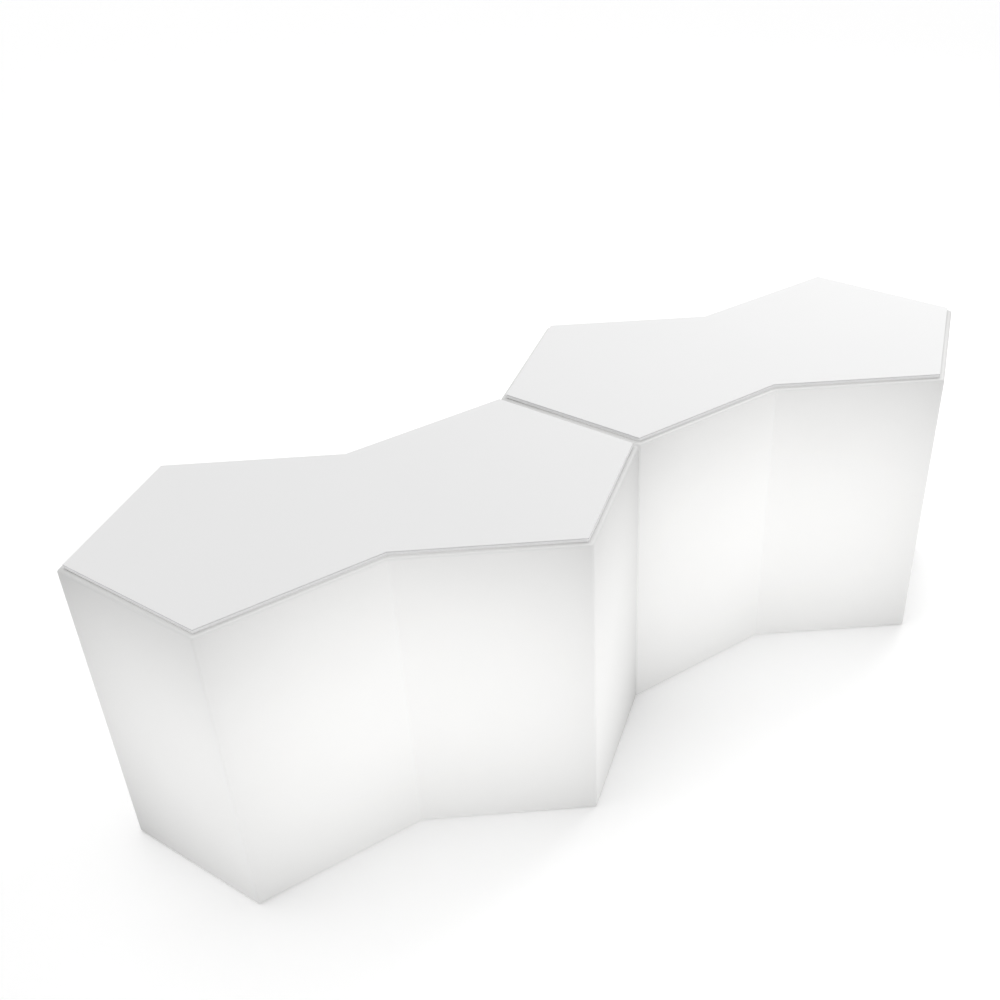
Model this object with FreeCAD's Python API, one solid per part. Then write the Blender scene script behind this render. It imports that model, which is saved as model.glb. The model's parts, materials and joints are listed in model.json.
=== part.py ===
# Illuminated bar counter made of two identical moulded modules that stand in a row.
# Each module is a hollow translucent shell with an eight-cornered plan: two five-sided
# lobes that meet at a narrow waist. A sheet top lies on it, screw feet carry it, and a
# lamp stand on the base cover lights it from inside. Two straps under the bases link
# the modules.
#
# Units are millimetres. The row runs along +X, guests stand on the -Y side, +Z is up.
# The origin is on the floor, under the middle of the row.

import FreeCAD
import Part

import math
import os

from FreeCAD import Placement, Rotation, Vector

# Plan and height of the counter
counter_height = 1100.0
end_face_length = 550.0
front_face_length = 580.0
end_face_angle = 54.0       # degrees between an end face and the module's long axis
front_face_angle = 15.0     # degrees between a long face and the module's long axis
module_gap = 2.0            # between the touching end faces of the two modules

# Moulded shell
wall = 6.0
upright_radius = 10.0       # rounding of the eight upright edges
shoulder_radius = 8.0       # rounding of the upper rim
base_radius = 5.0           # rounding of the lower rim
boss_wall = 6.0             # plastic left round every moulded-in insert or socket
boss_floor = 6.0            # plastic left past the blind end of a socket

# Sheet top
plate_inset = 17.0          # ledge of shell that shows round the sheet
plate_thickness = 12.0
plate_corner_radius = 2.0
plate_chamfer = 1.0

# Pads and locating pegs under the sheet top
pad_diameter = 30.0
pad_thickness = 3.0         # also the shadow gap under the sheet
pad_setback = 45.0          # pad centre to the shell's outer face
peg_diameter = 10.0
peg_seat_depth = 7.0        # peg held in the sheet
peg_reach = 16.0            # peg standing out below the deck's surface
peg_chamfer = 1.5
peg_setback = 150.0         # peg centre to the shell's outer face
peg_clearance = 0.3         # radial, peg in its bush
bush_wall = 3.0
bush_length = 19.0
bush_flange_width = 3.0
bush_flange_thickness = 1.5

# Screw feet
foot_height = 5.0           # also the clearance under the shell
foot_diameter = 50.0
foot_chamfer = 1.5
foot_setback = 80.0         # foot centre to the shell's outer faces
foot_travel = 12.0          # how far a foot can be screwed out
stem_diameter = 10.0
stem_engagement = 18.0      # thread still held when the foot is screwed right out
stem_chamfer = 1.5
foot_insert_wall = 3.0
foot_insert_length = 22.0

# Clearances shared by all pieces
thread_clearance = 0.1      # radial, screw or stem in its threaded insert
seat_clearance = 0.05       # radial, piece pressed or moulded into another
end_clearance = 1.0         # past the tip of a screw, stem or peg
stem_clearance = 0.3        # radial, foot stem in its insert, which it moves through

# Link straps between the modules
link_bolt_diameter = 8.0
link_bolt_length = 18.0     # grip below the head, strap included
link_head_diameter = 16.0
link_insert_wall = 2.6
link_insert_length = 20.0
link_setback = 40.0         # insert centre to the end face
link_spacing = 300.0        # between the two inserts of one end face
strap_thickness = 4.0
strap_width = 40.0
strap_hole_clearance = 0.4

# Base opening and lamp cover
opening_diameter = 180.0
cover_diameter = 226.0
cover_thickness = 5.0
cover_rim_clearance = 2.0   # radial, cover in its recess
cover_recess_depth = 8.0
cover_chamfer = 1.0
cover_screw_count = 6
cover_screw_diameter = 5.0
cover_screw_length = 15.0
cover_screw_head_diameter = 9.5
cover_screw_head_height = 2.8
cover_insert_wall = 2.0
cover_insert_length = 13.0
cover_screw_setback = 11.0  # screw centre to the cover's edge

# Cable entry: a closed membrane grommet for a flat flex
grommet_diameter = 18.0
grommet_flange_width = 3.0
grommet_flange_thickness = 2.0
grommet_membrane = 1.5
grommet_offset = 65.0       # from the lamp stand's axis, towards the rear

# Terminal box on the cover
box_length = 64.0
box_width = 34.0
box_height = 26.0
box_wall = 2.0
box_corner_radius = 4.0
box_offset = 56.0           # from the lamp stand's axis, towards the front

# Lamp stand: flange, post and cross-arm welded into one frame
stand_flange_diameter = 70.0
stand_flange_thickness = 4.0
stand_screw_count = 3
stand_screw_diameter = 5.0
stand_screw_head_diameter = 9.0
stand_screw_head_height = 2.8
stand_screw_setback = 9.0   # screw centre to the flange's edge
post_diameter = 30.0
post_wall = 1.5
post_length = 350.0
arm_length = 230.0
arm_width = 44.0
arm_thickness = 3.0

# Lamp holders and bulbs
lamp_spacing = 170.0        # between the two lamp axes
holder_diameter = 40.0
holder_height = 48.0
holder_floor = 14.0
holder_rim_chamfer = 2.0
holder_screw_diameter = 4.0
holder_screw_length = 12.0
holder_screw_head_diameter = 7.0
holder_screw_head_height = 2.4
holder_screw_spacing = 28.0
cap_diameter = 26.5
cap_length = 26.0
cap_clearance = 0.5         # radial, bulb cap in its holder
bulb_neck_diameter = 32.0
bulb_body_diameter = 58.0
bulb_body_length = 46.0
globe_diameter = 66.0

# Leads from the terminal box to the lamp holders
lead_diameter = 6.0
lead_bend_radius = 18.0
lead_post_clearance = 3.0   # between lead and post
lead_entry = 6.0            # lead standing inside the holder's floor

# Lengths and heights worked out from the sizes above
stem_length = foot_travel + stem_engagement
deck_z = counter_height - plate_thickness - pad_thickness
plate_z = deck_z + pad_thickness
base_z = foot_height
cover_top_z = base_z + cover_recess_depth
cover_z = cover_top_z - cover_thickness
arm_z = cover_top_z + stand_flange_thickness + post_length
holder_z = arm_z + arm_thickness
cap_z = holder_z + holder_floor

# Plan of one module worked out from its faces
end_rad = math.radians(end_face_angle)
front_rad = math.radians(front_face_angle)
lobe_x = front_face_length * math.cos(front_rad)
half_length = lobe_x + end_face_length * math.cos(end_rad)
half_depth = end_face_length * math.sin(end_rad)
half_waist = half_depth - front_face_length * math.sin(front_rad)

# Corners of one module, in order round its plan
corners = {
    "left": Vector(-half_length, 0, 0),
    "front_left": Vector(-lobe_x, -half_depth, 0),
    "front_waist": Vector(0, -half_waist, 0),
    "front_right": Vector(lobe_x, -half_depth, 0),
    "right": Vector(half_length, 0, 0),
    "rear_right": Vector(lobe_x, half_depth, 0),
    "rear_waist": Vector(0, half_waist, 0),
    "rear_left": Vector(-lobe_x, half_depth, 0),
}
waist_corners = ("front_waist", "rear_waist")
lobe_corners = ("front_left", "front_right", "rear_right", "rear_left")
end_faces = (
    ("rear_left", "left"),
    ("left", "front_left"),
    ("front_right", "right"),
    ("right", "rear_right"),
)
row_face = ("right", "rear_right")  # end face of the left module that meets the right module

UP = Vector(0, 0, 1)
LEVEL_TOLERANCE = 1e-6


def face_frame(face):
    """Middle, direction along and inward normal of the wall between two corners."""
    start, end = corners[face[0]], corners[face[1]]
    along = (end - start).normalize()
    inward = UP.cross(along)
    return (start + end) * 0.5, along, inward


def neighbours(points):
    """Each point of a closed outline with the point before it and the one after it."""
    return zip(points[-1:] + points[:-1], points, points[1:] + points[:1])


def inset_corners(inset):
    """Corners of the plan by name, with every wall moved inwards by the same distance."""
    found = {}
    for name, (last, corner, following) in zip(corners, neighbours(list(corners.values()))):
        inward_before = UP.cross((corner - last).normalize())
        inward_after = UP.cross((following - corner).normalize())
        middle = inward_before + inward_after
        found[name] = corner + middle * (inset / (1 + inward_before.dot(inward_after)))
    return found


def round_corner(last, corner, following, radius):
    """Start, middle and end of the arc that rounds a corner."""
    arrive = (corner - last).normalize()
    leave = (following - corner).normalize()
    half_turn = arrive.getAngle(leave) / 2
    reach = radius * math.tan(half_turn)
    middle = corner + (leave - arrive).normalize() * (radius / math.cos(half_turn) - radius)
    return corner - arrive * reach, middle, corner + leave * reach


def rounded_wire(points, radii):
    """Closed wire through the points, each corner rounded by its own radius."""
    arcs = [round_corner(*three, radius) for three, radius in zip(neighbours(points), radii)]
    edges = []
    for arc, following in zip(arcs, arcs[1:] + arcs[:1]):
        edges.append(Part.Arc(*arc).toShape())
        edges.append(Part.makeLine(arc[2], following[0]))
    return Part.Wire(edges)


def bent_path(points, radius):
    """Open wire through the points, every inner corner rounded by the same radius."""
    edges = []
    start = points[0]
    for three in zip(points, points[1:], points[2:]):
        arc = round_corner(*three, radius)
        edges.append(Part.makeLine(start, arc[0]))
        edges.append(Part.Arc(*arc).toShape())
        start = arc[2]
    edges.append(Part.makeLine(start, points[-1]))
    return Part.Wire(edges)


def plan_prism(inset, lobe_radius, waist_radius, z_low, z_high):
    """Upright prism on the plan moved inwards, with rounded upright edges."""
    points = [p + UP * z_low for p in inset_corners(inset).values()]
    radii = [waist_radius if name in waist_corners else lobe_radius for name in corners]
    return Part.Face(rounded_wire(points, radii)).extrude(UP * (z_high - z_low))


def level_edges(shape, z):
    """Edges of a shape that lie wholly at height z."""
    found = []
    for edge in shape.Edges:
        box = edge.BoundBox
        if abs(box.ZMin - z) < LEVEL_TOLERANCE and abs(box.ZMax - z) < LEVEL_TOLERANCE:
            found.append(edge)
    return found


def cylinder(centre, radius, z_low, z_high):
    return Part.makeCylinder(radius, z_high - z_low, Vector(centre.x, centre.y, z_low))


def turned(profile, centre):
    """Solid of revolution about the upright axis through centre; profile is (radius, z) points."""
    wire = Part.makePolygon([Vector(r, 0, z) for r, z in profile + profile[:1]])
    solid = Part.Face(wire).revolve(Vector(0, 0, 0), UP, 360)
    return solid.translated(Vector(centre.x, centre.y, 0))


def on_circle(count, radius, first_angle=0.0):
    """Points spaced evenly round the module's upright axis."""
    angles = [first_angle + 2 * math.pi * i / count for i in range(count)]
    return [Vector(radius * math.cos(a), radius * math.sin(a), 0) for a in angles]


# Where the repeated small pieces stand in a module's plan
foot_points = [p for name, p in inset_corners(foot_setback).items() if name not in waist_corners]
pad_points = list(inset_corners(pad_setback).values())
peg_points = [inset_corners(peg_setback)[name] for name in lobe_corners]
cover_screw_points = on_circle(cover_screw_count, cover_diameter / 2 - cover_screw_setback)
stand_screw_points = on_circle(
    stand_screw_count, stand_flange_diameter / 2 - stand_screw_setback, math.pi / 2
)
lamp_points = [Vector(side * lamp_spacing / 2, 0, 0) for side in (-1, 1)]


def link_points(face):
    """The two link inserts of one end face."""
    middle, along, inward = face_frame(face)
    return [middle + along * (side * link_spacing / 2) + inward * link_setback for side in (-1, 1)]


# Radii shared by a piece and its seat
bush_bore = peg_diameter / 2 + peg_clearance
bush_radius = bush_bore + bush_wall
foot_insert_bore = stem_diameter / 2 + stem_clearance
foot_insert_radius = foot_insert_bore + foot_insert_wall
link_bore = link_bolt_diameter / 2 + thread_clearance
link_insert_radius = link_bore + link_insert_wall
cover_bore = cover_screw_diameter / 2 + thread_clearance
cover_insert_radius = cover_bore + cover_insert_wall
cover_recess_radius = cover_diameter / 2 + cover_rim_clearance
grommet_offset_point = Vector(0, grommet_offset, 0)


def socket(centre, radius, z_mouth, depth, tip_radius, tip_depth):
    """A moulded boss and the stepped blind hole in it, opening at z_mouth.

    A positive depth goes up from the mouth, a negative one goes down. The first stretch
    seats an insert or bush, the second gives room for the tip of what passes through it.
    """
    way = math.copysign(1, depth)
    longest = max(abs(depth), abs(tip_depth))
    ends = sorted((z_mouth, z_mouth + way * (longest + boss_floor)))
    boss = cylinder(centre, radius + boss_wall, *ends)
    seat = cylinder(centre, radius, *sorted((z_mouth, z_mouth + depth)))
    tip = cylinder(centre, tip_radius, *sorted((z_mouth, z_mouth + way * longest)))
    return boss, [seat, tip]


def shell_sockets():
    """Bosses and holes of every insert and bush that the shell holds."""
    found = []
    for p in peg_points:
        seat = bush_radius + seat_clearance
        found.append(socket(p, seat, deck_z, -bush_length, bush_bore, peg_reach + end_clearance))
    for p in foot_points:
        seat = foot_insert_radius + seat_clearance
        reach = stem_length + end_clearance
        found.append(socket(p, seat, base_z, foot_insert_length, foot_insert_bore, reach))
    for face in end_faces:
        for p in link_points(face):
            seat = link_insert_radius + seat_clearance
            found.append(socket(p, seat, base_z, link_insert_length, link_bore, link_bolt_length))
    for p in cover_screw_points:
        seat = cover_insert_radius + seat_clearance
        reach = cover_screw_length - cover_thickness + end_clearance
        found.append(socket(p, seat, cover_top_z, cover_insert_length, cover_bore, reach))
    return found


def make_body_shell():
    """Hollow shell of even wall, with a recessed lamp opening in its base."""
    outer = plan_prism(0, upright_radius, upright_radius, base_z, deck_z)
    outer = outer.makeFillet(shoulder_radius, level_edges(outer, deck_z))
    outer = outer.makeFillet(base_radius, level_edges(outer, base_z))
    middle = Vector(0, 0, 0)
    recess = cylinder(middle, cover_recess_radius, base_z, cover_top_z)
    step = cylinder(middle, cover_recess_radius + wall, base_z, cover_top_z + wall)
    inner_radius, inner_waist_radius = upright_radius - wall, upright_radius + wall
    hollow = plan_prism(wall, inner_radius, inner_waist_radius, base_z + wall, deck_z - wall)
    shell = outer.cut([recess, hollow.cut(step)])
    sockets = shell_sockets()
    shell = shell.fuse([boss for boss, _ in sockets])
    opening = cylinder(middle, opening_diameter / 2, base_z, cover_top_z + wall)
    holes = [hole for _, pair in sockets for hole in pair]
    return [shell.cut([opening] + holes).removeSplitter()]


def make_top_plate():
    """Sheet with sharp corners and a fine chamfer round its upper edge."""
    radius = plate_corner_radius
    sheet = plan_prism(plate_inset, radius, radius, plate_z, counter_height)
    sheet = sheet.makeChamfer(plate_chamfer, level_edges(sheet, counter_height))
    seat = peg_diameter / 2 + seat_clearance
    return [sheet.cut([cylinder(p, seat, plate_z, plate_z + peg_seat_depth) for p in peg_points])]


def make_plate_pegs():
    tip_z = deck_z - peg_reach
    radius = peg_diameter / 2
    profile = [
        (0, tip_z),
        (radius - peg_chamfer, tip_z),
        (radius, tip_z + peg_chamfer),
        (radius, plate_z + peg_seat_depth),
        (0, plate_z + peg_seat_depth),
    ]
    return [turned(profile, p) for p in peg_points]


def make_peg_bushes():
    flange = bush_radius + bush_flange_width
    rim_z = deck_z + bush_flange_thickness
    profile = [
        (bush_bore, deck_z - bush_length),
        (bush_radius, deck_z - bush_length),
        (bush_radius, deck_z),
        (flange, deck_z),
        (flange, rim_z),
        (bush_bore, rim_z),
    ]
    return [turned(profile, p) for p in peg_points]


def make_plate_pads():
    return [cylinder(p, pad_diameter / 2, deck_z, plate_z) for p in pad_points]


def make_levelling_foot(centre):
    """Glide disc and the threaded stem moulded into it."""
    radius = foot_diameter / 2
    disc = turned(
        [
            (0, 0),
            (radius - foot_chamfer, 0),
            (radius, foot_chamfer),
            (radius, foot_height),
            (0, foot_height),
        ],
        centre,
    )
    tip_z = base_z + stem_length
    stem = turned(
        [
            (0, foot_height),
            (stem_diameter / 2, foot_height),
            (stem_diameter / 2, tip_z - stem_chamfer),
            (stem_diameter / 2 - stem_chamfer, tip_z),
            (0, tip_z),
        ],
        centre,
    )
    return [disc, stem]


def tube_rings(points, outer, bore, z_low, z_high):
    """Round sleeves, such as threaded inserts, one at each point."""
    return [cylinder(p, outer, z_low, z_high).cut(cylinder(p, bore, z_low, z_high)) for p in points]


def make_foot_inserts():
    top = base_z + foot_insert_length
    return tube_rings(foot_points, foot_insert_radius, foot_insert_bore, base_z, top)


def make_link_inserts():
    points = [p for face in end_faces for p in link_points(face)]
    return tube_rings(points, link_insert_radius, link_bore, base_z, base_z + link_insert_length)


def make_cover_inserts():
    top = cover_top_z + cover_insert_length
    return tube_rings(cover_screw_points, cover_insert_radius, cover_bore, cover_top_z, top)


def make_lamp_cover():
    """Disc that closes the base opening and carries the lamp stand."""
    cover = cylinder(Vector(0, 0, 0), cover_diameter / 2, cover_z, cover_top_z)
    cover = cover.makeChamfer(cover_chamfer, level_edges(cover, cover_z))
    holes = [cylinder(p, cover_bore, cover_z, cover_top_z) for p in cover_screw_points]
    tapped = stand_screw_diameter / 2 + thread_clearance
    holes += [cylinder(p, tapped, cover_z, cover_top_z) for p in stand_screw_points]
    seat = grommet_diameter / 2 + seat_clearance
    holes.append(cylinder(grommet_offset_point, seat, cover_z, cover_top_z))
    return [cover.cut(holes)]


def screw_from_below(centre, z_seat, head_radius, head_height, radius, length):
    """Pan-head screw whose head bears upwards on z_seat."""
    dome = head_height / 3
    profile = [
        (0, z_seat - head_height),
        (head_radius - dome, z_seat - head_height),
        (head_radius, z_seat - head_height + dome),
        (head_radius, z_seat),
        (radius, z_seat),
        (radius, z_seat + length),
        (0, z_seat + length),
    ]
    return turned(profile, centre)


def make_cover_screws():
    head, height = cover_screw_head_diameter / 2, cover_screw_head_height
    radius = cover_screw_diameter / 2
    return [
        screw_from_below(p, cover_z, head, height, radius, cover_screw_length) for p in cover_screw_points
    ]


def make_cable_grommet():
    """Snap-in grommet, closed by a thin membrane until a flex is pushed through."""
    body = grommet_diameter / 2
    flange = body + grommet_flange_width
    inner = body - grommet_flange_width
    low_z = cover_z - grommet_flange_thickness
    lip_z = cover_top_z + grommet_flange_thickness
    profile = [
        (0, low_z),
        (flange, low_z),
        (flange, cover_z),
        (body, cover_z),
        (body, cover_top_z),
        (flange, cover_top_z),
        (body, lip_z),
        (inner, lip_z),
        (inner, low_z + grommet_membrane),
        (0, low_z + grommet_membrane),
    ]
    return [turned(profile, grommet_offset_point)]


def make_terminal_box():
    """Lidded box for the mains terminals, hollow inside."""
    box = Part.makeBox(
        box_length, box_width, box_height, Vector(-box_length / 2, -box_offset - box_width / 2, cover_top_z)
    )
    uprights = [e for e in box.Edges if abs(e.tangentAt(e.FirstParameter).z) > 0.99]
    box = box.makeFillet(box_corner_radius, uprights)
    room = Part.makeBox(
        box_length - 2 * box_wall,
        box_width - 2 * box_wall,
        box_height - 2 * box_wall,
        Vector(-box_length / 2 + box_wall, -box_offset - box_width / 2 + box_wall, cover_top_z + box_wall),
    )
    return [box.cut(room)]


def make_lamp_stand():
    """Flange, tube post and cross-arm, welded into one frame."""
    middle = Vector(0, 0, 0)
    flange_top = cover_top_z + stand_flange_thickness
    flange = cylinder(middle, stand_flange_diameter / 2, cover_top_z, flange_top)
    holes = [
        cylinder(p, stand_screw_diameter / 2 + thread_clearance, cover_top_z, flange_top)
        for p in stand_screw_points
    ]
    bore = cylinder(middle, post_diameter / 2 - post_wall, cover_top_z, arm_z)
    post = cylinder(middle, post_diameter / 2, cover_top_z, arm_z)
    end_radius = arm_width / 2
    reach = arm_length / 2 - end_radius
    low, high = Vector(-reach, -end_radius, arm_z), Vector(reach, end_radius, arm_z)
    outline = Part.Wire(
        [
            Part.makeLine(low, Vector(high.x, low.y, arm_z)),
            Part.Arc(
                Vector(high.x, low.y, arm_z), Vector(high.x + end_radius, 0, arm_z), high
            ).toShape(),
            Part.makeLine(high, Vector(low.x, high.y, arm_z)),
            Part.Arc(
                Vector(low.x, high.y, arm_z), Vector(low.x - end_radius, 0, arm_z), low
            ).toShape(),
        ]
    )
    arm = Part.Face(outline).extrude(UP * arm_thickness)
    entries = [cylinder(p, lead_diameter / 2 + seat_clearance, arm_z, holder_z) for p in lamp_points]
    screw_radius = holder_screw_diameter / 2 + thread_clearance
    entries += [cylinder(p, screw_radius, arm_z, holder_z) for p in holder_screw_points()]
    return [post.fuse([flange]).cut([bore] + holes).fuse([arm.cut(entries)]).removeSplitter()]


def holder_screw_points():
    """Two screws hold each lamp holder to the cross-arm."""
    shift = Vector(0, holder_screw_spacing / 2, 0)
    return [p + shift * side for p in lamp_points for side in (-1, 1)]


def make_stand_screws():
    """Screws driven from above, through the flange into the cover."""
    flange_top = cover_top_z + stand_flange_thickness
    head, radius = stand_screw_head_diameter / 2, stand_screw_diameter / 2
    dome = stand_screw_head_height / 3
    crown = flange_top + stand_screw_head_height
    profile = [
        (0, cover_z),
        (radius, cover_z),
        (radius, flange_top),
        (head, flange_top),
        (head, crown - dome),
        (head - dome, crown),
        (0, crown),
    ]
    return [turned(profile, p) for p in stand_screw_points]


def make_lamp_holders():
    """Cups that the bulb caps screw into, with an entry for the lead in the floor."""
    radius = holder_diameter / 2
    bore = cap_diameter / 2 + cap_clearance
    rim_z = holder_z + holder_height
    profile = [
        (0, holder_z),
        (radius, holder_z),
        (radius, rim_z - holder_rim_chamfer),
        (radius - holder_rim_chamfer, rim_z),
        (bore, rim_z),
        (bore, cap_z),
        (0, cap_z),
    ]
    cups = []
    lead_hole = lead_diameter / 2 + seat_clearance
    for i, p in enumerate(lamp_points):
        screws = holder_screw_points()[2 * i : 2 * i + 2]
        depth = holder_screw_length - arm_thickness + end_clearance
        screw_hole = holder_screw_diameter / 2 + thread_clearance
        holes = [cylinder(s, screw_hole, holder_z, holder_z + depth) for s in screws]
        holes.append(cylinder(p, lead_hole, holder_z, holder_z + lead_entry))
        cups.append(turned(profile, p).cut(holes))
    return cups


def make_holder_screws():
    head, height = holder_screw_head_diameter / 2, holder_screw_head_height
    radius = holder_screw_diameter / 2
    return [
        screw_from_below(p, arm_z, head, height, radius, holder_screw_length) for p in holder_screw_points()
    ]


def make_bulb_bases():
    """Screw cap, neck and flared body of each bulb, in one piece."""
    cap = cap_diameter / 2
    neck_z = cap_z + cap_length
    flare_z = holder_z + holder_height + end_clearance
    body_z = flare_z + bulb_body_length
    profile = [
        (0, cap_z + end_clearance),
        (cap, cap_z + end_clearance),
        (cap, neck_z),
        (cap, flare_z),
        (bulb_neck_diameter / 2, flare_z),
        (bulb_body_diameter / 2, body_z),
        (0, body_z),
    ]
    return [turned(profile, p) for p in lamp_points]


def make_bulb_globes():
    """Opal dome on each bulb: part of a ball, cut flat where it sits on the body."""
    radius = globe_diameter / 2
    body_z = holder_z + holder_height + end_clearance + bulb_body_length
    rise = math.sqrt(radius**2 - (bulb_body_diameter / 2) ** 2)
    globes = []
    for p in lamp_points:
        ball = Part.makeSphere(radius, Vector(p.x, p.y, body_z + rise))
        below = cylinder(p, radius, body_z - radius, body_z)
        globes.append(ball.cut(below))
    return globes


def make_lamp_leads():
    """Each lead climbs beside the post, bends out under the arm and up into a holder."""
    leads = []
    box_top = cover_top_z + box_height
    z_cross = box_top + 2 * lead_bend_radius
    z_run = arm_z - lead_bend_radius - lead_diameter
    for p in lamp_points:
        x = math.copysign(post_diameter / 2 + lead_post_clearance + lead_diameter / 2, p.x)
        points = [
            Vector(x, -box_offset, box_top),
            Vector(x, -box_offset, z_cross),
            Vector(x, 0, z_cross),
            Vector(x, 0, z_run),
            Vector(p.x, 0, z_run),
            Vector(p.x, 0, holder_z + lead_entry),
        ]
        section = Part.Wire([Part.makeCircle(lead_diameter / 2, points[0], UP)])
        leads.append(bent_path(points, lead_bend_radius).makePipeShell([section], True, True))
    return leads


def make_link_straps():
    """Flat round-ended straps bolted under both bases, across the joint of the modules."""
    middle, along, inward = face_frame(row_face)
    seam = middle - inward * (module_gap / 2)
    reach = link_setback + module_gap / 2
    end_radius = strap_width / 2
    straps = []
    for side in (-1, 1):
        centre = seam + along * (side * link_spacing / 2) + UP * (base_z - strap_thickness)
        left, right = centre + inward * reach, centre - inward * reach
        across = along * end_radius
        outline = Part.Wire(
            [
                Part.makeLine(left + across, right + across),
                Part.Arc(right + across, right - inward * end_radius, right - across).toShape(),
                Part.makeLine(right - across, left - across),
                Part.Arc(left - across, left + inward * end_radius, left + across).toShape(),
            ]
        )
        strap = Part.Face(outline).extrude(UP * strap_thickness)
        for hole in (left, right):
            strap = strap.cut(link_bolt_shape(hole, strap_hole_clearance))
        straps.append(strap)
    return straps


def link_bolt_shape(centre, clearance):
    """Countersunk bolt, or with a clearance the hole for it; its head is flush with the strap."""
    low_z = base_z - strap_thickness
    shank = link_bolt_diameter / 2 + clearance
    head = link_head_diameter / 2 + clearance
    cone = head - shank
    tip_z = low_z + link_bolt_length
    profile = [(0, low_z), (head, low_z), (shank, low_z + cone), (shank, tip_z), (0, tip_z)]
    return turned(profile, centre)


def make_link_bolts():
    middle, along, inward = face_frame(row_face)
    seam = middle - inward * (module_gap / 2)
    reach = link_setback + module_gap / 2
    return [
        link_bolt_shape(seam + along * (side * link_spacing / 2) + inward * (way * reach), 0)
        for side in (-1, 1)
        for way in (-1, 1)
    ]


# Step from the left module to the right one, along the row
row_middle, row_along, row_inward = face_frame(row_face)
row_step = row_middle * 2 - row_inward * module_gap
row_turn = Rotation(UP, -math.degrees(math.atan2(row_step.y, row_step.x)))
module_places = {
    "left": Placement(Vector(-row_step.Length / 2, 0, 0), row_turn),
    "right": Placement(Vector(row_step.Length / 2, 0, 0), row_turn),
}


def module_pieces():
    """Every node of one module, in the module's own axes."""
    pieces = {
        "body_shell": make_body_shell(),
        "top_plate": make_top_plate(),
        "plate_pegs": make_plate_pegs(),
        "peg_bushes": make_peg_bushes(),
        "plate_pads": make_plate_pads(),
        "foot_inserts": make_foot_inserts(),
        "link_inserts": make_link_inserts(),
        "lamp_cover": make_lamp_cover(),
        "cover_inserts": make_cover_inserts(),
        "cover_screws": make_cover_screws(),
        "cable_grommet": make_cable_grommet(),
        "terminal_box": make_terminal_box(),
        "lamp_stand": make_lamp_stand(),
        "stand_screws": make_stand_screws(),
        "lamp_holders": make_lamp_holders(),
        "holder_screws": make_holder_screws(),
        "bulb_bases": make_bulb_bases(),
        "bulb_globes": make_bulb_globes(),
        "lamp_leads": make_lamp_leads(),
    }
    return pieces


def export(name, solids, place):
    shape = solids[0] if len(solids) == 1 else Part.makeCompound(solids)
    shape = shape.copy()
    shape.Placement = place.multiply(shape.Placement)
    if not shape.isValid():
        print("not valid:", name)
    shape.exportStep(os.path.join("parts", name + ".step"))


def main():
    os.makedirs("parts", exist_ok=True)
    pieces = module_pieces()
    feet = [make_levelling_foot(p) for p in foot_points]
    for side, place in module_places.items():
        for name, solids in pieces.items():
            export(f"{name}_{side}", solids, place)
        for number, foot in enumerate(feet, start=1):
            export(f"levelling_foot_{side}_{number}", foot, place)
    for name, strap in zip(("link_strap_front", "link_strap_rear"), make_link_straps()):
        export(name, [strap], module_places["left"])
    export("link_bolts", make_link_bolts(), module_places["left"])
    size = (2 * half_length, 2 * half_depth, 2 * half_waist)
    print("one module is %.0f by %.0f mm, %.0f at the waist" % size)


main()
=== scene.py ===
import json
import math

import bpy
from mathutils import Matrix, Vector

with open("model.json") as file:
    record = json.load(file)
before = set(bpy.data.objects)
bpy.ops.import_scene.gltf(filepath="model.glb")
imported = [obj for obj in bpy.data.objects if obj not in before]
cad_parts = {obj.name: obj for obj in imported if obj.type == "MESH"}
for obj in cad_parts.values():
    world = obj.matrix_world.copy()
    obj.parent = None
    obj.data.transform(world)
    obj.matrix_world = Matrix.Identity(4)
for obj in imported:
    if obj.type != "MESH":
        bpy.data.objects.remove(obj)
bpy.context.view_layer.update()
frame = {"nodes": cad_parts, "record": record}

nodes = frame["nodes"]
print("frame:", len(nodes), "nodes")

# One module is turned by this angle from the row, and its middle is this far along X;
# the corners are its end, shoulder and waist in its own quarter of the plan
row = {"turn": math.radians(-17.15), "middle": 0.75635,
       "end": (0.8835, 0, 0), "shoulder": (0.5602, 0.445, 0), "waist": (0, 0.2949, 0)}


class Wire:
    # a node's output that can be added, multiplied and so on

    def __init__(self, tree, socket):
        self.tree = tree
        self.socket = socket

    def sum(self, kind, a, b):
        node = self.tree.nodes.new("ShaderNodeMath")
        node.operation = kind
        for slot, value in zip(node.inputs, (a, b)):
            plug(self.tree, slot, value)
        return Wire(self.tree, node.outputs[0])

    def __add__(self, b):
        return self.sum("ADD", self, b)

    def __radd__(self, b):
        return self.sum("ADD", b, self)

    def __sub__(self, b):
        return self.sum("SUBTRACT", self, b)

    def __rsub__(self, b):
        return self.sum("SUBTRACT", b, self)

    def __mul__(self, b):
        return self.sum("MULTIPLY", self, b)

    def __rmul__(self, b):
        return self.sum("MULTIPLY", b, self)

    def __truediv__(self, b):
        return self.sum("DIVIDE", self, b)

    def __rtruediv__(self, b):
        return self.sum("DIVIDE", b, self)

    def __pow__(self, b):
        return self.sum("POWER", self, b)

    def __rpow__(self, b):
        return self.sum("POWER", b, self)


def plug(tree, slot, value):
    if isinstance(value, Wire):
        tree.links.new(value.socket, slot)
    elif isinstance(value, (tuple, list)) and len(value) == 3 and slot.type == "RGBA":
        slot.default_value = (*value, 1.0)
    else:
        slot.default_value = value


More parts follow.
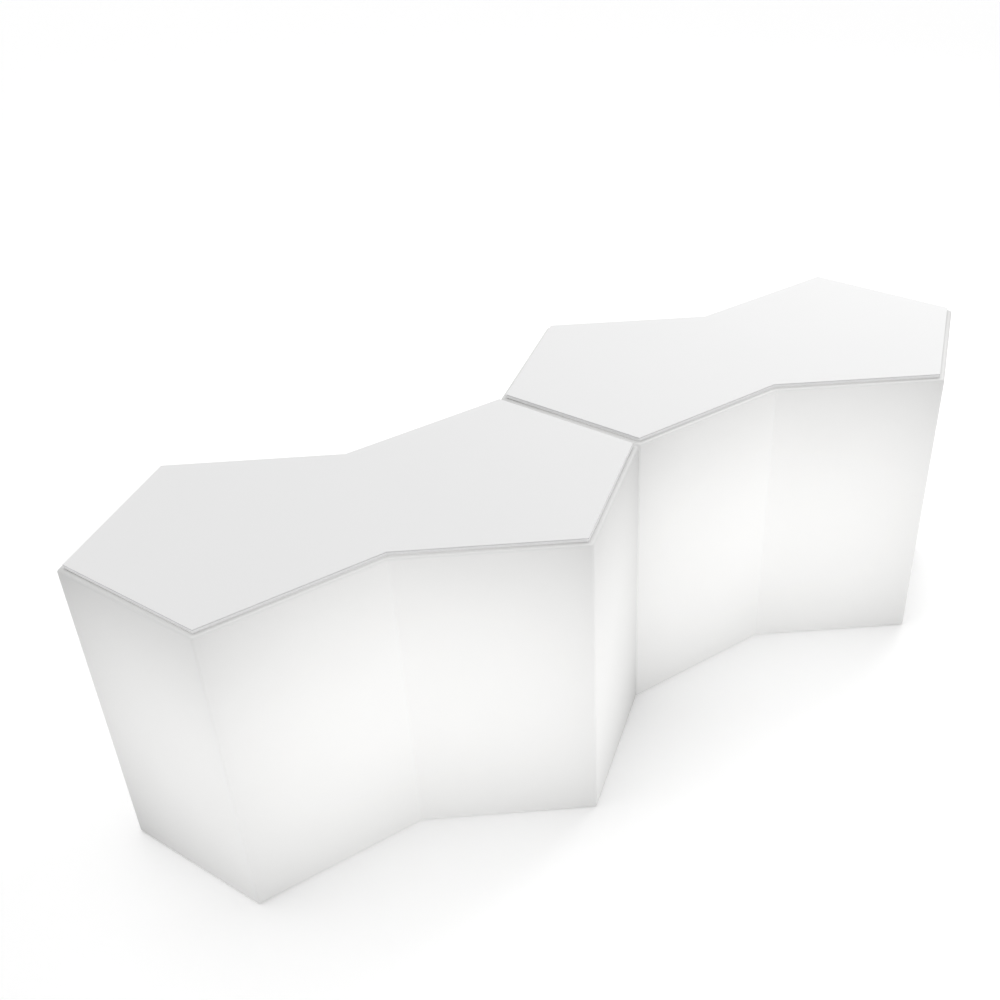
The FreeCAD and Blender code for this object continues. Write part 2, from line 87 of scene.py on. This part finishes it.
class Paint:
    # a material and the nodes that feed its surface

    def __init__(self, name):
        self.material = bpy.data.materials.new(name)
        self.material.use_nodes = True
        self.tree = self.material.node_tree
        self.surface = self.tree.nodes["Principled BSDF"]

    def node(self, kind, settings, inputs, output=0):
        made = self.tree.nodes.new(kind)
        for key, value in settings.items():
            setattr(made, key, value)
        for key, value in inputs.items():
            plug(self.tree, made.inputs[key], value)
        return Wire(self.tree, made.outputs[output])

    def place(self, at=(0, 0, 0), turn=0.0):
        # object coordinates as seen from a point and turned about Z
        spot = self.node("ShaderNodeTexCoord", {}, {}, "Object")
        return self.node("ShaderNodeMapping", {"vector_type": "TEXTURE"}, {
            "Vector": spot, "Location": at, "Rotation": (0, 0, turn)})

    def noise(self, where, scale, detail):
        return self.node("ShaderNodeTexNoise", {}, {
            "Vector": where, "Scale": scale, "Detail": detail}, "Fac")

    def blend(self, amount, low, high):
        return self.node("ShaderNodeMix", {"data_type": "RGBA"}, {
            "Factor": amount, 6: low, 7: high}, 2)

    def ramp(self, value, low, high):
        # 0 up to the low value, 1 from the high one
        return self.node("ShaderNodeMapRange", {}, {"Value": value, "From Min": low, "From Max": high})

    def bump(self, height, strength, depth, under=None):
        inputs = {"Height": height, "Strength": strength, "Distance": depth}
        if under is not None:
            inputs["Normal"] = under
        return self.node("ShaderNodeBump", {}, inputs)

    def finish(self, **values):
        for key, value in values.items():
            plug(self.tree, self.surface.inputs[key.replace("_", " ")], value)
        return self.material


def wallGap(paint, spot, start, end):
    # how far a point lies inside the wall between two corners: reach of the wall minus normal times point
    way = Vector(end) - Vector(start)
    normal = Vector((way.y, -way.x, 0)).normalized()
    along = paint.node("ShaderNodeVectorMath", {"operation": "DOT_PRODUCT"}, {0: spot, 1: normal}, "Value")
    return normal.dot(Vector(start)) - along


def shellPaint(side):
    # satin white plastic with a painted glow standing in for the light of the lamps inside shining through
    # it: the painted glow fades with the fourth power of the distance from the module's upright axis and the
    # square of the height above or below mid-height;
    # a noise has a scale and a detail, a bump a strength and a depth
    look = {"low": (0.585, 0.585, 0.58), "high": (0.615, 0.615, 0.61), "glow": (1.0, 0.995, 0.985),
            "peak": 0.447, "outward": 0.385, "fade": 4.0, "upward": 0.17, "corner": 0.3,
            "middle": 0.535, "half": 0.54, "deck": (0.545, 0.549), "ledge": (0.016, 0.018),
            "rim": 0.45, "under": 0.03, "even": 0.985, "uneven": 0.03, "rough": 0.42, "spread": 0.12,
            "cloud": (3.0, 3.0), "peel": (420.0, 2.0), "wave": (14.0, 1.0),
            "peelBump": (0.05, 0.0006), "waveBump": (0.05, 0.002), "bending": 1.5}
    paint = Paint("shell" + side)
    centre = (row["middle"] * (-1 if side == "Left" else 1), 0, look["middle"])
    spot = paint.place()
    fromAxis = paint.node("ShaderNodeVectorMath", {"operation": "MULTIPLY"}, {
        0: paint.place(centre), 1: (1, 1, 0)})
    out = paint.node("ShaderNodeVectorMath", {"operation": "LENGTH"}, {0: fromAxis}, "Value")
    up = paint.node("ShaderNodeSeparateXYZ", {}, {0: paint.place(centre)}, "Z")
    cloud = paint.noise(spot, *look["cloud"])
    peel = paint.noise(spot, *look["peel"])
    wave = paint.noise(spot, *look["wave"])
    far = out ** look["fade"]
    level = up / look["half"]
    # painted glow: strongest on the module's axis at mid-height, darker towards the ends, top and bottom
    paintedGlow = look["peak"] - look["outward"] * far - look["upward"] * level * level * (1.0 + look["corner"] * far)
    # at the deck's height the painted glow is dimmed on the thick rim as painted shade, and a little painted
    # light is added in the joint under the top
    quarter = paint.node("ShaderNodeVectorMath", {"operation": "ABSOLUTE"}, {
        0: paint.place(centre, row["turn"])})
    gap = wallGap(paint, quarter, row["end"], row["shoulder"])
    gap = gap.sum("MINIMUM", gap, wallGap(paint, quarter, row["shoulder"], row["waist"]))
    deck = paint.ramp(up, *look["deck"])
    under = deck * paint.ramp(gap, *look["ledge"])
    # painted shade on the rim and painted light under the top
    paintedGlow = paintedGlow.sum("MAXIMUM", paintedGlow, 0.0) * (1.0 - look["rim"] * (deck - under)) + look["under"] * under
    paintedGlow = paintedGlow * (look["even"] + look["uneven"] * cloud)
    glow = paint.node("ShaderNodeVectorMath", {"operation": "SCALE"}, {0: look["glow"], "Scale": paintedGlow})
    normal = paint.bump(peel, *look["peelBump"], paint.bump(wave, *look["waveBump"]))
    return paint.finish(
        Base_Color=paint.blend(cloud, look["low"], look["high"]),
        Roughness=look["rough"] + look["spread"] * peel, Normal=normal, IOR=look["bending"],
        Emission_Color=glow, Emission_Strength=1.0)


def topPaint():
    # white laminate, fine grained and satin; along the top of its side faces a thin grey line is painted
    # shade, and below it the sides are painted a lighter white as light from the glowing deck below
    look = {"low": (0.75, 0.75, 0.75), "high": (0.77, 0.77, 0.77), "cut": (0.68, 0.68, 0.68),
            "paintedSideLight": (0.92, 0.92, 0.92), "cutTop": 1.0998, "paintedSideLightTop": 1.0968, "sharp": 3000.0,
            "cloud": (2.2, 3.0), "grain": (900.0, 2.0), "fleck": 0.25, "rough": 0.55, "spread": 0.12,
            "grainBump": (0.04, 0.0003), "bending": 1.45}
    paint = Paint("topLaminate")
    spot = paint.place()
    height = paint.node("ShaderNodeSeparateXYZ", {}, {0: spot}, "Z")
    cloud = paint.noise(spot, *look["cloud"])
    grain = paint.noise(spot, *look["grain"])
    mottle = (1.0 - look["fleck"]) * cloud + look["fleck"] * grain
    face = paint.blend(mottle, look["low"], look["high"])
    # painted shade: a thin grey line along the top of the side faces
    face = paint.blend((look["cutTop"] - height) * look["sharp"], face, look["cut"])
    # painted light: the side faces below the grey line are a lighter white, as if lit by the glowing deck
    return paint.finish(
        Base_Color=paint.blend((look["paintedSideLightTop"] - height) * look["sharp"], face, look["paintedSideLight"]),
        Roughness=look["rough"] + look["spread"] * grain,
        Normal=paint.bump(grain, *look["grainBump"]), IOR=look["bending"])


def plainPaint(name, low, high, rough, metal=0.0, scale=60.0, grain=500.0, shine=0.0, glow=None):
    # two close tones mixed by a soft noise, with a finer noise in the shine and the bump
    look = {"softDetail": 3.0, "fineDetail": 2.0, "spread": 0.14, "fineBump": (0.08, 0.0004)}
    paint = Paint(name)
    spot = paint.place()
    soft = paint.noise(spot, scale, look["softDetail"])
    fine = paint.noise(spot, grain, look["fineDetail"])
    paint.finish(
        Base_Color=paint.blend(soft, low, high), Roughness=rough + look["spread"] * (fine - 0.5),
        Metallic=metal, Coat_Weight=shine, Normal=paint.bump(fine, *look["fineBump"]))
    if glow is not None:
        paint.finish(Emission_Color=paint.blend(soft, glow, (1, 1, 1)), Emission_Strength=1.0)
    return paint.material


paints = {
    "top_laminate": topPaint(),
    "steel": plainPaint(
        "zincSteel", (0.55, 0.56, 0.58), (0.66, 0.66, 0.68),
        rough=0.34, metal=1.0, scale=90.0, grain=700.0),
    "white_nylon": plainPaint("whiteNylon", (0.78, 0.78, 0.76), (0.84, 0.84, 0.82), rough=0.5),
    "clear_silicone": plainPaint("silicone", (0.62, 0.64, 0.64), (0.70, 0.72, 0.72), rough=0.35),
    "brass": plainPaint(
        "turnedBrass", (0.70, 0.50, 0.20), (0.80, 0.61, 0.29),
        rough=0.3, metal=1.0, scale=120.0, grain=900.0),
    "cover_plastic": plainPaint("coverPlastic", (0.70, 0.70, 0.70), (0.76, 0.76, 0.76), rough=0.5),
    "grey_rubber": plainPaint("greyRubber", (0.10, 0.10, 0.105), (0.14, 0.14, 0.145), rough=0.7),
    "white_painted_steel": plainPaint(
        "whitePaint", (0.76, 0.76, 0.76), (0.82, 0.82, 0.82), rough=0.4, scale=40.0, grain=650.0),
    "holder_porcelain": plainPaint(
        "porcelain", (0.80, 0.80, 0.77), (0.86, 0.86, 0.83), rough=0.22, shine=0.6),
    "bulb_plastic": plainPaint("bulbPlastic", (0.78, 0.78, 0.78), (0.84, 0.84, 0.84), rough=0.35),
    "bulb_opal": plainPaint(
        "bulbOpal", (0.86, 0.86, 0.84), (0.92, 0.92, 0.90), rough=0.3, glow=(1.0, 0.97, 0.90)),
    "lead_sheath": plainPaint("leadSheath", (0.74, 0.74, 0.74), (0.80, 0.80, 0.80), rough=0.45),
    "foot_nylon": plainPaint("footNylon", (0.030, 0.030, 0.032), (0.05, 0.05, 0.052), rough=0.55),
}
shells = {"body_shell_left": shellPaint("Left"), "body_shell_right": shellPaint("Right")}
for part in frame["record"]["subparts"]:
    mesh = nodes[part["node"]].data
    mesh.materials.clear()
    mesh.materials.append(shells.get(part["node"]) or paints[part["material_slot"]])
print("materials:", len(paints) + len(shells))


def makeFloor():
    # flat square, wide enough to fill the view, with a faint light of its own that keeps it white
    look = {"half": 40.0, "tone": (0.98, 0.98, 0.98), "rough": 0.9, "light": (1, 1, 1), "strength": 0.075}
    half = look["half"]
    corners = [(-half, -half, 0), (half, -half, 0), (half, half, 0), (-half, half, 0)]
    mesh = bpy.data.meshes.new("floor")
    mesh.from_pydata(corners, [], [(0, 1, 2, 3)])
    floor = bpy.data.objects.new("floor", mesh)
    bpy.context.scene.collection.objects.link(floor)
    paint = Paint("floorWhite")
    mesh.materials.append(paint.finish(
        Base_Color=look["tone"], Roughness=look["rough"],
        Emission_Color=look["light"], Emission_Strength=look["strength"]))


def addLamp(name, kind, at, towards, power, **settings):
    data = bpy.data.lights.new(name, kind)
    data.energy = power
    for key, value in settings.items():
        setattr(data, key, value)
    lamp = bpy.data.objects.new(name, data)
    lamp.location = at
    lamp.rotation_euler = (Vector(towards) - Vector(at)).to_track_quat("-Z", "Y").to_euler()
    bpy.context.scene.collection.objects.link(lamp)


def makeWorld(level, tilt):
    # soft studio light, a little stronger from the right and the front: level plus tilt times direction;
    # straight views, reflections and see-through rays find plain white
    world = bpy.data.worlds.new("studio")
    bpy.context.scene.world = world
    world.use_nodes = True
    tree = world.node_tree
    path = tree.nodes.new("ShaderNodeLightPath")
    seen = Wire(tree, path.outputs["Is Camera Ray"]) + Wire(tree, path.outputs["Is Glossy Ray"])
    seen = seen + Wire(tree, path.outputs["Is Transmission Ray"])
    seen = seen.sum("MINIMUM", seen, 1.0)
    back = tree.nodes["Background"]
    back.inputs["Color"].default_value = (1, 1, 1, 1)
    lean = tree.nodes.new("ShaderNodeVectorMath")
    lean.operation = "DOT_PRODUCT"
    plug(tree, lean.inputs[0], Wire(tree, tree.nodes.new("ShaderNodeTexCoord").outputs["Generated"]))
    plug(tree, lean.inputs[1], tilt)
    light = level + Wire(tree, lean.outputs["Value"])
    plug(tree, back.inputs["Strength"], light + (1.0 - light) * seen)


makeFloor()
makeWorld(level=0.54, tilt=(0.15, -0.1, 0))
addLamp("overhead", "SUN", at=(-0.9, 1.5, 6.0), towards=(0, 0, 0), power=1.26, angle=0.95)
addLamp("highRight", "AREA", at=(3.6, 0.9, 4.6), towards=(0.8, 0.0, 1.0), power=62.0,
        shape="DISK", size=2.5)
print("stage: floor, world, lamps")

# Camera from the fit of the photo's corners: place in metres, angles in degrees, film width in
# millimetres, the rest in pixels of the square photo
photo = {"at": (-2.1177, -2.8844, 3.2225), "azimuth": -36.039, "elevation": 36.008, "roll": -1.586,
         "film": 36.0, "focal": 1270.4, "centre": (566.0, 536.5), "side": 1000.0}


def makeCamera():
    azimuth, elevation, roll = (math.radians(photo[key]) for key in ("azimuth", "elevation", "roll"))
    level = math.cos(elevation)
    ahead = Vector((-math.sin(azimuth) * level, math.cos(azimuth) * level, -math.sin(elevation)))
    right = Vector((math.cos(azimuth), math.sin(azimuth), 0))
    up = right.cross(ahead)
    rolledRight = right * math.cos(roll) + up * math.sin(roll)
    rolledUp = up * math.cos(roll) - right * math.sin(roll)
    middle = photo["side"] / 2
    data = bpy.data.cameras.new("photoView")
    data.sensor_width = photo["film"]
    data.lens = photo["focal"] * photo["film"] / photo["side"]
    data.shift_x = (middle - photo["centre"][0]) / photo["side"]
    data.shift_y = (photo["centre"][1] - middle) / photo["side"]
    camera = bpy.data.objects.new("photoView", data)
    turn = Matrix((rolledRight, rolledUp, -ahead)).transposed()
    camera.matrix_world = Matrix.Translation(photo["at"]) @ turn.to_4x4()
    bpy.context.scene.collection.objects.link(camera)
    bpy.context.scene.camera = camera


makeCamera()
bpy.context.scene.view_settings.view_transform = "Standard"
print("camera set")
